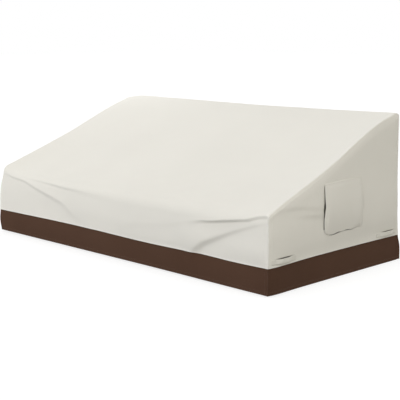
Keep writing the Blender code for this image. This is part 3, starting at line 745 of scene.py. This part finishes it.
def gapShade(y, z):
    # how much painted shade darkens the cloth behind the lifted flap and behind each slack handle, 0 to 1
    start, lowest, soft = readTable(gaps["ventEdge"], z), readTable(gaps["ventLow"], y), gaps["ventSoft"]
    shade = ease(y - start + soft["open"] / 2, soft["open"]) * ease(start + gaps["ventDepth"] - y, soft["sewn"])
    shade = shade * ease(z - lowest + soft["low"] / 2, soft["low"]) * ease(gaps["ventTop"] - z, soft["top"])
    sewn = curveThrough(gaps["sewnHeights"], [row[1] for row in flap["sewnEdge"]], z)
    (past, over), (low, high, soft) = gaps["sewnReach"], gaps["sewnEnds"]
    beside = ease(y - sewn + over, over) * ease(sewn + past - y, over) * ease(z - low, soft) * ease(high - z, soft)
    shade = np.maximum(shade, gaps["sewnShade"] * beside)
    (low, lowSoft), (high, highSoft) = gaps["strapLow"], gaps["strapTop"]
    rise, arch, base, more = gaps["strapRise"]
    for start, end in gaps["straps"]:
        share = np.clip((y - start) / (end - start), 0.0, 1.0)
        top = high + rise * (4 * share * (1 - share)) ** arch * (base + more * share)
        inside = ease(z - low, lowSoft) * ease(top - z, highSoft)
        shade = np.maximum(shade, inside * ease(share, gaps["strapEnds"]) * ease(1 - share, gaps["strapEnds"]))
    return shade


def endGrid(side):
    label = sideNames[side]
    y, top = endColumns(side)
    rows = [bandTop(side * seamX + 0 * y, y) + offset for offset in near["edge"]]
    start, middle, high = rows[-1], mesh["lowTop"], top - near["top"][0]
    rows += [start + (middle - start) * step / mesh["lowSteps"] for step in range(1, mesh["lowSteps"])]
    rows += [middle + (high - middle) * step / mesh["endSteps"] for step in range(mesh["endSteps"])]
    rows += [top - offset for offset in near["top"]]
    z = np.stack(rows, -1)
    y = np.broadcast_to(y[:, None], z.shape)
    top = np.broadcast_to(top[:, None], z.shape)
    out, hold = endOut(side, y, z, top)
    fromSide = halfDepth - seamDrop - np.abs(y)
    overEdge, fromSeam = z - z[:, :1], np.minimum(fromSide, top - z)
    out = out + hold * unevenness(label, y, z)
    (start, over), (seamStart, sideStart) = turned["endPuckerFrom"], turned["endStart"]
    out = out + puckers(label, ease(start - fromSeam, over) * ease(fromSeam, seamStart), y + z, y * 0)
    out = out + layer(overEdge, "lower") * ease(fromSide, sideStart)
    for corner, place in turned["facings"].items():
        fromCorner = halfDepth - corner * y
        out = out + layer(fromCorner - place, "facing") - groove(fromCorner, place, turned["facingGroove"])
    edge = np.maximum(paintedEdgeLight(overEdge, "lower"), paintedEdgeLight(fromSeam, "seam"))
    points = taper(side * (halfLength + out), y, z)
    # the painted shade behind the flap and the handles goes with the panel's grid
    return gridOf(points, side * y, z, edge, side < 0, y=y[:, 0], hidden=gapShade(y, z))


def bandRows(top):
    rows = [offset + 0 * top for offset in near["hem"]]
    start, end, count = rows[-1], top + form["lap"], mesh["bandSteps"]
    return np.stack(rows + [start + (end - start) * step / count for step in range(1, count + 1)], -1)


def bandExtra(panel, across, z, fromEnd):
    (low, above), (waveStart, hemStart) = turned["bandWave"], turned["bandStart"]
    uneven = unevenness(panel + "Band", across, z) * ease(z + low, above)
    return ease(fromEnd, waveStart) * uneven + ease(fromEnd, hemStart) * layer(z, "hem")


def bandGrid(points, across, z, fromEnd, turn):
    # a strip that stands behind the light cloth's face, mitred where it meets the next one at a corner
    edge = np.maximum(paintedEdgeLight(z, "hem"), paintedEdgeLight(fromEnd, "bandEnd"))
    grid = gridOf(points, across, z, edge, turn)
    points = grid["points"]
    normals = outward(points)
    for column in (0, -1):
        corner = np.sign(points[column, 0, :2]) / math.sqrt(2)
        normals[column] = (corner[0], corner[1], 0.0)
    grid["points"] = points - normals * form["setIn"]
    return grid


def longBandGrid(side):
    panel = "front" if side < 0 else "back"
    x = spanX()
    top = bandTop(x, side * halfDepth + 0 * x)
    z = bandRows(top)
    x, top = np.broadcast_to(x[:, None], z.shape), np.broadcast_to(top[:, None], z.shape)
    fromEnd = halfLength - np.abs(x) - seamInset
    hang = np.minimum(z / top, 1.0) ** form["bandFade"]
    out = seamHold(x) * hang * foldRelief(folds[panel], x, np.maximum(z, top)) - endDrop(x)
    out = out + bandExtra(panel, x, z, fromEnd) + layer(fromEnd + seamInset, "bandCorner")
    return bandGrid(taper(x, side * (halfDepth + out), z), -side * x, z, fromEnd, side > 0)


def endBandGrid(side):
    y, _ = endColumns(side)
    z = bandRows(bandTop(side * seamX + 0 * y, y))
    y = np.broadcast_to(y[:, None], z.shape)
    out, _ = endOut(side, y, z, 1.0)
    fromEnd = halfDepth - seamDrop - np.abs(y)
    out = out + bandExtra(sideNames[side], y, z, fromEnd)
    return bandGrid(taper(side * (halfLength + out), y, z), side * y, z, fromEnd, side < 0)


# ---- finishes

# a thread is rounded across by the power, and keeps at least the base of its height between those it crosses
weave = {"power": 0.6, "base": 0.55}


def weaveHeight(tree, across, up, pitch, ratio):
    # threads that pass over and under one another, 0 between them and 1 on their crowns
    u, v = maths(tree, "DIVIDE", across, pitch), maths(tree, "DIVIDE", up, pitch * ratio)
    crowns = [maths(tree, "SINE", maths(tree, "MULTIPLY", maths(tree, "FRACT", t), math.pi)) for t in (u, v)]
    over = maths(tree, "FLOORED_MODULO", maths(tree, "ADD", maths(tree, "FLOOR", u), maths(tree, "FLOOR", v)), 2.0)
    warp, weft = (maths(tree, "MULTIPLY", maths(tree, "POWER", crown, weave["power"]),
                        maths(tree, "MULTIPLY_ADD", crossed, 1 - weave["base"], weave["base"]))
                  for crown, crossed in (crowns, crowns[::-1]))
    return maths(tree, "ADD", warp, maths(tree, "MULTIPLY", maths(tree, "SUBTRACT", weft, warp), over))


def mixColour(tree, share, a, b, mode="MIX"):
    node = addNode(tree, "ShaderNodeMix", data_type="RGBA", blend_type=mode)
    sockets = {socket.identifier: socket for socket in node.inputs}
    for key, value in (("Factor_Float", share), ("A_Color", a), ("B_Color", b)):
        if isinstance(value, bpy.types.NodeSocket):
            tree.links.new(value, sockets[key])
        else:
            sockets[key].default_value = value
    return {socket.identifier: socket for socket in node.outputs}["Result_Color"]


def noiseOn(tree, vector, size, detail, stretch=(1.0, 1.0, 1.0)):
    place = addNode(tree, "ShaderNodeMapping", {"Scale": stretch, "Vector": vector}).outputs["Vector"]
    values = {"Scale": 1 / size, "Detail": detail, "Vector": place}
    return addNode(tree, "ShaderNodeTexNoise", values).outputs["Fac"]


def between(tree, value, low, high, start=0.0, end=1.0):
    # from low to high while the value goes from start to end
    limits = {"From Min": start, "From Max": end, "To Min": low, "To Max": high}
    return addNode(tree, "ShaderNodeMapRange", {"Value": value, **limits}).outputs["Result"]


def bumpFrom(tree, height, strength, distance):
    values = {"Strength": strength, "Distance": distance, "Height": height}
    return addNode(tree, "ShaderNodeBump", values).outputs["Normal"]


# edge is the colour of the painted highlights along seams and edges, and on the webbing that of the painted shade
# along its edges
finishes = {
    "lightCloth": {
        "tone": (0.815, 0.795, 0.735, 1.0), "shade": (0.785, 0.766, 0.708, 1.0), "edge": (0.93, 0.915, 0.87, 1.0),
        "pitch": 0.0009, "ratio": 1.15, "roughness": (0.78, 0.92), "sheen": 0.08, "bump": 0.18, "specular": 0.28,
    },
    "brownCloth": {
        "tone": (0.0915, 0.0485, 0.031, 1.0), "shade": (0.079, 0.0413, 0.0264, 1.0), "edge": (0.12, 0.07, 0.048, 1.0),
        "pitch": 0.0009, "ratio": 1.15, "roughness": (0.74, 0.88), "sheen": 0.0, "bump": 0.25, "specular": 0.06,
    },
    "lightWebbing": {
        "tone": (0.785, 0.766, 0.705, 1.0), "shade": (0.73, 0.712, 0.65, 1.0), "edge": (0.70, 0.683, 0.625, 1.0),
        "pitch": 0.0016, "ratio": 0.6, "roughness": (0.72, 0.88), "sheen": 0.10, "bump": 0.45, "specular": 0.30,
    },
}
cloth = {
    "cloud": (0.45, 4.0),  # size and detail of the slow change of tone
    "slub": (0.004, 2.0),  # and of the uneven threads
    "warpStretch": (1.0, 0.04, 1.0),
    "weftStretch": (0.03, 1.0, 1.0),
    "mix": (0.75, 0.55),  # shares of cloud and slubs in the tone
    "mixRange": (0.45, 0.85),
    "threadShade": (0.86, 1.04),  # painted shade: a little darker between the threads
    # how far the edges take on their painted highlight colour, painted shade on the webbing
    "paintedEdgeShare": 0.7,
    "dark": (0.030, 0.026, 0.021, 1.0),  # painted shade behind the flap and the handles
    "paintedShadeShare": 0.93,
    "bumpDepth": 0.0003,
    "slubBump": 0.8,
    "sheenRoughness": 0.45,
}


def wovenFinish(name):
    look = finishes[name]
    material, tree, shader = newMaterial(name)
    uv = addNode(tree, "ShaderNodeUVMap", uv_map="cloth").outputs["UV"]
    place = addNode(tree, "ShaderNodeTexCoord").outputs["Object"]
    split = addNode(tree, "ShaderNodeSeparateXYZ", {"Vector": uv})
    threads = weaveHeight(tree, split.outputs["X"], split.outputs["Y"], look["pitch"], look["ratio"])
    cloud = noiseOn(tree, place, *cloth["cloud"])
    slubs = [noiseOn(tree, uv, *cloth["slub"], cloth[key]) for key in ("warpStretch", "weftStretch")]
    slubs = maths(tree, "MULTIPLY", maths(tree, "ADD", *slubs), 0.5)
    parts = [maths(tree, "MULTIPLY", part, share) for part, share in zip((cloud, slubs), cloth["mix"])]
    share = between(tree, maths(tree, "ADD", *parts), 0.0, 1.0, *cloth["mixRange"])
    # painted highlights along seams and edges, and painted shade along the webbing's edges
    edge = addNode(tree, "ShaderNodeAttribute", attribute_name="edge").outputs["Fac"]
    # painted shade behind the flap and the handles, and over the flap itself
    hidden = addNode(tree, "ShaderNodeAttribute", attribute_name="hidden").outputs["Fac"]
    colour = mixColour(tree, share, look["tone"], look["shade"])
    colour = mixColour(tree, maths(tree, "MULTIPLY", edge, cloth["paintedEdgeShare"]), colour, look["edge"])
    # painted shade between the threads
    colour = mixColour(tree, 1.0, colour, between(tree, threads, *cloth["threadShade"]), "MULTIPLY")
    colour = mixColour(tree, maths(tree, "MULTIPLY", hidden, cloth["paintedShadeShare"]), colour, cloth["dark"])
    height = maths(tree, "ADD", threads, maths(tree, "MULTIPLY", slubs, cloth["slubBump"]))
    fill(shader, {
        "Base Color": colour,
        "Roughness": between(tree, cloud, *look["roughness"]),
        "Specular IOR Level": look["specular"],
        "Sheen Weight": look["sheen"],
        "Sheen Roughness": cloth["sheenRoughness"],
        "Normal": bumpFrom(tree, height, look["bump"], cloth["bumpDepth"]),
    })
    return material


spun = {
    "fibre": (0.0012, 2.0),  # size and detail of its unevenness
    "roughness": (0.5, 0.7),
    "specular": 0.4,
    "sheen": 0.15,
    "bump": (0.3, 0.0002),
}


def threadFinish(name, colour, dark):
    # thread with a slightly uneven tone and surface
    material, tree, shader = newMaterial(name)
    fibre = noiseOn(tree, addNode(tree, "ShaderNodeTexCoord").outputs["Object"], *spun["fibre"])
    fill(shader, {
        "Base Color": mixColour(tree, fibre, colour, dark),
        "Roughness": between(tree, fibre, *spun["roughness"]),
        "Specular IOR Level": spun["specular"],
        "Sheen Weight": spun["sheen"],
        "Normal": bumpFrom(tree, fibre, *spun["bump"]),
    })
    return material


lightCloth, brownCloth, lightWebbing = (wovenFinish(name) for name in finishes)
lightThread = threadFinish("lightThread", (0.80, 0.78, 0.71, 1.0), (0.62, 0.60, 0.54, 1.0))
brownThread = threadFinish("brownThread", (0.11, 0.065, 0.048, 1.0), (0.06, 0.034, 0.026, 1.0))
print("finishes done")


# ---- sheets of cloth

def quadsOf(points):
    columns, rows = points.shape[:2]
    index = np.arange(columns * rows).reshape(columns, rows)
    return np.stack((index[:-1, :-1], index[1:, :-1], index[1:, 1:], index[:-1, 1:]), -1).reshape(-1, 4)


def clothPiece(name, grid, finish, thickness, outwards):
    quads = quadsOf(grid["points"])
    data = bpy.data.meshes.new(name)
    data.from_pydata(grid["points"].reshape(-1, 3).tolist(), [], quads.tolist())
    flatPlaces = data.uv_layers.new(name="cloth")
    flatPlaces.data.foreach_set("uv", grid["uv"].reshape(-1, 2)[quads.ravel()].astype(np.float32).ravel())
    for key in ("edge", "hidden"):
        if key in grid:
            attribute = data.attributes.new(key, "FLOAT", "POINT")
            attribute.data.foreach_set("value", grid[key].astype(np.float32).ravel())
    data.materials.append(finish)
    data.shade_smooth()
    piece = newObject(name, data)
    solid = piece.modifiers.new("cloth", "SOLIDIFY")
    solid.thickness = thickness
    solid.offset = 1.0 if outwards else -1.0
    return piece


def wallOf(grid):
    # the outer face of an end panel, to lay the flap and the handles on
    return BVHTree.FromPolygons(grid["points"].reshape(-1, 3).tolist(), quadsOf(grid["points"]).tolist())


def onWall(wall, side, y, z, lift):
    x = np.empty(np.shape(y))
    for i in np.ndindex(x.shape):
        x[i] = wall.ray_cast(Vector((side * 2.0, y[i], z[i])), Vector((-side, 0.0, 0.0)))[0].x
    return np.stack((x + side * lift, y, z), -1)


def shares(sizes):
    # 0 to 1 along a piece's columns and up its rows
    return np.meshgrid(*(np.linspace(0, 1, sizes[key] + 1) for key in ("columns", "rows")), indexing="ij")


def closer(share, low, high):
    # shares that lie closer together towards both ends
    return np.where(share < 0.5, 0.5 * (2 * share) ** low, 1 - 0.5 * (2 * (1 - share)) ** high)


def flapGrid(side, wall):
    along, up = shares(flap)
    along, up = closer(along, 1.4, 1.4), closer(up, 1.3, 1.1)
    front, back = readTable(flap["openEdge"], up), readTable(flap["sewnEdge"], up)
    low, high = readTable(flap["lowEdge"], along), readTable(flap["highEdge"], along)
    y, z = front + (back - front) * along, low + (high - low) * up
    fromOpen, fromSewn, fromLow, fromHigh = y - front, back - y, z - low, high - z
    height, inwards, upwards = flap["openLift"]
    lift = flap["seamLift"] + height * (1 - along) ** inwards * np.sin(math.pi * up).clip(0) ** upwards
    (start, over), (roll, overRoll), (foot, overFoot) = flap["sewnFrom"], flap["sewnRoll"], flap["sewnFoot"]
    held = ease(along - start, over) * ease(fromSewn + roll, overRoll) * ease(fromLow + foot, overFoot)
    lift = lift + flap["sewnLift"] * held
    (start, over), (swing, turns), (fall, first, reach) = flap["billow"]
    billow = ease(along - start, over) * (1 - swing + swing * np.cos(turns * along))
    billow = billow * (1 - fall * ease(along - first, reach))
    height, upwards = flap["hemLift"]
    lift = lift + height * billow * (1 - up) ** upwards
    inner = ease(np.minimum(np.minimum(fromOpen, fromSewn), np.minimum(fromLow, fromHigh)), flap["puffFrom"])
    lift = lift + inner * (flap["puff"] + unevenness(sideNames[side] + "Flap", y, z))
    out, middle, height = flap["belly"]
    lift = lift + out * inner * fade(z - middle, height) + foldRelief(flap["pinches"], y, z)
    lift = lift + layer(fromOpen, "flapHem") + layer(fromLow, "flapHem")
    lift = lift + layer(fromSewn, "flapSeam") + layer(fromHigh, "flapSeam")
    # painted highlight along the open edge, fainter along the lower and upper edges
    edge = np.maximum(paintedEdgeLight(fromOpen, "flapOpen"), paintedEdgeLight(np.minimum(fromLow, fromHigh), "flapLow"))
    # painted shade over the whole flap, more towards its lower edge
    high, low = flap["paintedShadeAmount"]
    hidden = low + (high - low) * ease(up, 1.0)
    return gridOf(onWall(wall, side, y, z, lift), side * y, z, edge, side < 0, hidden=hidden)


handle = {
    "ends": {"front": (-0.532, -0.352), "back": (0.347, 0.538)},
    "columns": 120,
    "rows": 8,
    "cloth": 0.0018,
    "width": 0.025,
    "low": 0.1445,
    "lift": 0.010,
    "padLift": 0.0005,
    "pad": 0.024,  # length sewn down at each end
    "rise": 0.045,
    "cup": (0.0010, 0.03),  # its middle stands out between its edges: how far, and over what length that begins
}


def handleGrid(side, place, wall):
    front, back = handle["ends"][place]
    along, up = shares(handle)
    y, z = front + (back - front) * along, handle["low"] + handle["width"] * up
    fromPad = (back - front) * np.minimum(along, 1 - along) - handle["pad"]
    cup, over = handle["cup"]
    lift = handle["padLift"] + handle["lift"] * ease(fromPad, handle["rise"])
    lift = lift + cup * ease(fromPad, over) * np.sin(math.pi * up)
    # painted shade along the strap's long edges, together with a slightly darker selvedge
    edge = paintedEdgeLight(np.minimum(up, 1 - up), "webbing")
    return gridOf(onWall(wall, side, y, z, lift), side * y, z, edge, side < 0)


ends = {label: endGrid(side) for label, side in sides.items()}
print("end panels shaped")

sheets = {}


def addSheet(name, node, grid, finish, flat, area=None, thickness=form["cloth"], outwards=False, restsOn=()):
    # node is the solid that the piece stands for, flat its width and length laid flat, and area its flat area if it
    # isn't a rectangle; flat and area are kept with the sheet but not used
    slotName = {lightCloth: "light_cloth", brownCloth: "brown_cloth", lightWebbing: "light_webbing"}[finish]
    sheets[name] = {"piece": clothPiece(name, grid, finish, thickness, outwards), "node": node, "slot": slotName,
                    "flat": flat, "area": area, "restsOn": restsOn, "points": grid["points"],
                    "outward": outward(grid["points"]), "thickness": thickness if outwards else 0.0, "stitches": []}


addSheet("topCloth", "top_panel", frontGrid(), lightCloth, (2.29, 1.48), restsOn=["rightEndCloth", "leftEndCloth"])
addSheet("backCloth", "back_panel", backGrid(), lightCloth, (2.29, 0.68), restsOn=["topCloth"])
addSheet("frontBandCloth", "front_band", longBandGrid(-1), brownCloth, (2.25, 0.17), restsOn=["topCloth"])
addSheet("backBandCloth", "back_band", longBandGrid(1), brownCloth, (2.25, 0.17), restsOn=["backCloth"])
for label, side in sides.items():
    wall, under = wallOf(ends[label]), [label + "EndCloth"]
    addSheet(label + "EndCloth", label + "_end_panel", ends[label], lightCloth, (1.18, 0.69), area=0.58,
             restsOn=["topCloth"])
    addSheet(label + "BandCloth", label + "_band", endBandGrid(side), brownCloth, (1.13, 0.17), restsOn=under)
    addSheet(label + "VentFlap", label + "_vent_flap", flapGrid(side, wall), lightCloth, (0.35, 0.29),
             thickness=flap["cloth"], outwards=True, restsOn=under)
    for place in handle["ends"]:
        addSheet(f"{label}{place.capitalize()}Handle", f"{label}_{place}_handle", handleGrid(side, place, wall),
                 lightWebbing, (handle["width"], 0.195), thickness=handle["cloth"], outwards=True, restsOn=under)
print("sheets made:", len(sheets))


# ---- stitches, in rows that follow the cloth

stitch = {"Pitch": 0.0046, "Stitch Length": 0.0037, "Thread": 0.0008, "Seed": 7}
bead = {"Segments": 6, "Rings": 4, "Radius": 0.5}
beadUneven = (0.88, 1.06)  # the shortest and the longest against that length
beadLift = 0.15  # of the thread's width, from the cloth to a bead's middle


def stitchTree():
    tree = bpy.data.node_groups.new("stitchRows", "GeometryNodeTree")
    kinds = {"Geometry": "Geometry", **{name: "Float" for name in stitch}, "Seed": "Int", "Finish": "Material"}
    for name, kind in kinds.items():
        socket = tree.interface.new_socket(name=name, in_out="INPUT", socket_type="NodeSocket" + kind)
        if name in stitch:
            socket.default_value = stitch[name]
    tree.interface.new_socket(name="Geometry", in_out="OUTPUT", socket_type="NodeSocketGeometry")

    def add(kind, values=None, output=None, **settings):
        node = addNode(tree, kind, values, **settings)
        return node.outputs[output] if output else node

    given = add("NodeGroupInput").outputs
    curve = add("GeometryNodeMeshToCurve", {"Mesh": given["Geometry"]}, "Curve")
    even = add("GeometryNodeResampleCurve", {"Curve": curve, "Length": given["Pitch"]}, "Curve", mode="LENGTH")
    ball = add("GeometryNodeMeshUVSphere", bead, "Mesh")
    # the bead's poles point along the row
    lay = add("GeometryNodeTransform", {"Geometry": ball, "Rotation": (0.0, math.pi / 2, 0.0)}, "Geometry")
    tangent = add("GeometryNodeInputTangent", output="Tangent")
    facing = add("GeometryNodeInputNamedAttribute", {"Name": "outward"}, "Attribute", data_type="FLOAT_VECTOR")
    turn = add("FunctionNodeAxesToRotation", {"Primary Axis": tangent, "Secondary Axis": facing}, "Rotation",
               primary_axis="X", secondary_axis="Z")
    uneven = add("FunctionNodeRandomValue", {"Seed": given["Seed"]}, data_type="FLOAT")
    limits = [socket for socket in uneven.inputs if socket.name in ("Min", "Max") and socket.type == "VALUE"]
    limits[0].default_value, limits[1].default_value = beadUneven
    factor = [socket for socket in uneven.outputs if socket.type == "VALUE"][0]
    length = maths(tree, "MULTIPLY", given["Stitch Length"], factor)
    size = add("ShaderNodeCombineXYZ", {"X": length, "Y": given["Thread"], "Z": given["Thread"]}, "Vector")
    rows = add("GeometryNodeInstanceOnPoints", {"Points": even, "Instance": lay, "Rotation": turn, "Scale": size},
               "Instances")
    real = add("GeometryNodeRealizeInstances", {"Geometry": rows}, "Geometry")
    smooth = add("GeometryNodeSetShadeSmooth", {"Geometry": real}, "Geometry")
    painted = add("GeometryNodeSetMaterial", {"Geometry": smooth, "Material": given["Finish"]}, "Geometry")
    add("NodeGroupOutput", {"Geometry": painted})
    return tree


stitchRows = stitchTree()


def lineOn(name, *parts):
    # a row of stitches through those columns and rows of a sheet's grid
    sheet = sheets[name]
    columns, rows = np.array([place for part in parts for place in part]).T
    facing = sheet["outward"][columns, rows]
    lift = sheet["thickness"] + beadLift * stitch["Thread"]
    sheet["stitches"].append((sheet["points"][columns, rows] + facing * lift, facing))


def straight(columns, rows):
    # the grid places along one column or one row
    if isinstance(columns, int):
        return [(columns, row) for row in rows]
    return [(column, rows) for column in columns]


def addStitches(name, finish):
    sheet = sheets[name]
    points, normals, edges = [], [], []
    for line, facing in sheet["stitches"]:
        edges += [(len(points) + i, len(points) + i + 1) for i in range(len(line) - 1)]
        points += line.tolist()
        normals += facing.tolist()
    data = bpy.data.meshes.new(name + "Stitches")
    data.from_pydata(points, edges, [])
    attribute = data.attributes.new("outward", "FLOAT_VECTOR", "POINT")
    attribute.data.foreach_set("vector", np.array(normals, np.float32).ravel())
    rows = newObject(name + "Stitches", data)
    modifier = rows.modifiers.new("rows", "NODES")
    modifier.node_group = stitchRows
    values = {**stitch, "Finish": finish}
    for socket in stitchRows.interface.items_tree:
        if socket.in_out == "INPUT" and socket.name in values:
            modifier[socket.identifier] = values[socket.name]
    bpy.context.view_layer.update()
    made = bpy.data.meshes.new_from_object(rows.evaluated_get(bpy.context.evaluated_depsgraph_get()))
    rows.modifiers.remove(modifier)
    rows.data = made
    made.name = name + "Stitches"
    if "outward" in made.attributes:
        made.attributes.remove(made.attributes["outward"])
    sheet["stitchPiece"] = rows


topColumn, facingColumn = near["topStitch"], near["facingStitch"]
for name in ("topCloth", "backCloth"):
    columns, rows = sheets[name]["points"].shape[:2]
    wallTop = len(near["edge"]) + mesh["wallSteps"] if name == "topCloth" else rows
    lineOn(name, straight(range(2, columns - 2), near["edgeStitch"]))
    for column, last in ((topColumn, rows - 1), (facingColumn, wallTop)):
        for place in (column, columns - 1 - column):
            lineOn(name, straight(place, range(1, last)))
columns, rows = sheets["topCloth"]["points"].shape[:2]
lineOn("topCloth", straight(range(3, columns - 3), rows - 2))
for label in sides:
    name, y = label + "EndCloth", ends[label]["y"]
    columns, rows = sheets[name]["points"].shape[:2]
    reach = halfDepth - seamDrop - near["sideStitch"]
    first, last = sorted(int(np.argmin(np.abs(y - target))) for target in (-reach, reach))
    topRow = rows - len(near["top"]) + near["top"].index(near["seamStitch"])
    lineOn(name, straight(range(1, columns - 1), near["edgeStitch"]))
    lineOn(name, straight(first, range(1, topRow)), straight(range(first, last + 1), topRow),
           straight(last, range(topRow - 1, 0, -1)))
for name in ("frontBandCloth", "backBandCloth"):
    columns, rows = sheets[name]["points"].shape[:2]
    lineOn(name, straight(range(1, columns - 1), near["hemStitch"]))
    for column in (topColumn, facingColumn):
        for place in (column, columns - 1 - column):
            lineOn(name, straight(place, range(0, rows - 2)))
for label in sides:
    name = label + "BandCloth"
    lineOn(name, straight(range(1, len(sheets[name]["points"]) - 1), near["hemStitch"]))
    name, inside = label + "VentFlap", flap["stitchesIn"]
    columns, rows = sheets[name]["points"].shape[:2]
    upright = (inside["open"], columns - 1 - inside["sewn"])
    for column in upright if label == "right" else (columns - 1 - upright[0], columns - 1 - upright[1]):
        lineOn(name, straight(column, range(1, rows - 1)))
    for row in (inside["low"], rows - 1 - inside["high"]):
        lineOn(name, straight(range(1, columns - 1), row))
    for place, (front, back) in handle["ends"].items():
        name = f"{label}{place.capitalize()}Handle"
        columns, rows = sheets[name]["points"].shape[:2]
        pad = int((columns - 1) * handle["pad"] / (back - front))
        for start, end in ((2, pad), (columns - 1 - pad, columns - 3)):  # a box with a cross in it
            lineOn(name, straight(start, range(1, rows - 1)), straight(range(start + 1, end), rows - 2),
                   straight(end, range(rows - 2, 0, -1)), straight(range(end - 1, start, -1), 1))
            crossed = np.rint(start + (end - start) * np.linspace(0, 1, rows - 2)).astype(int).tolist()
            lineOn(name, zip(crossed, range(1, rows - 1)))
            lineOn(name, zip(crossed, range(rows - 2, 0, -1)))

for name in sheets:
    addStitches(name, brownThread if "Band" in name else lightThread)
beads = sum(len(sheet["stitchPiece"].data.polygons) for sheet in sheets.values()) // (bead["Segments"] * bead["Rings"])
print("stitches sewn:", beads)


# ---- each piece hides the solid it stands for and rides on the body

for name, sheet in sheets.items():
    piece, threads = sheet["piece"], sheet["stitchPiece"]
    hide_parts(sheet["node"])
    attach(piece, "root")
    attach(threads, "root")
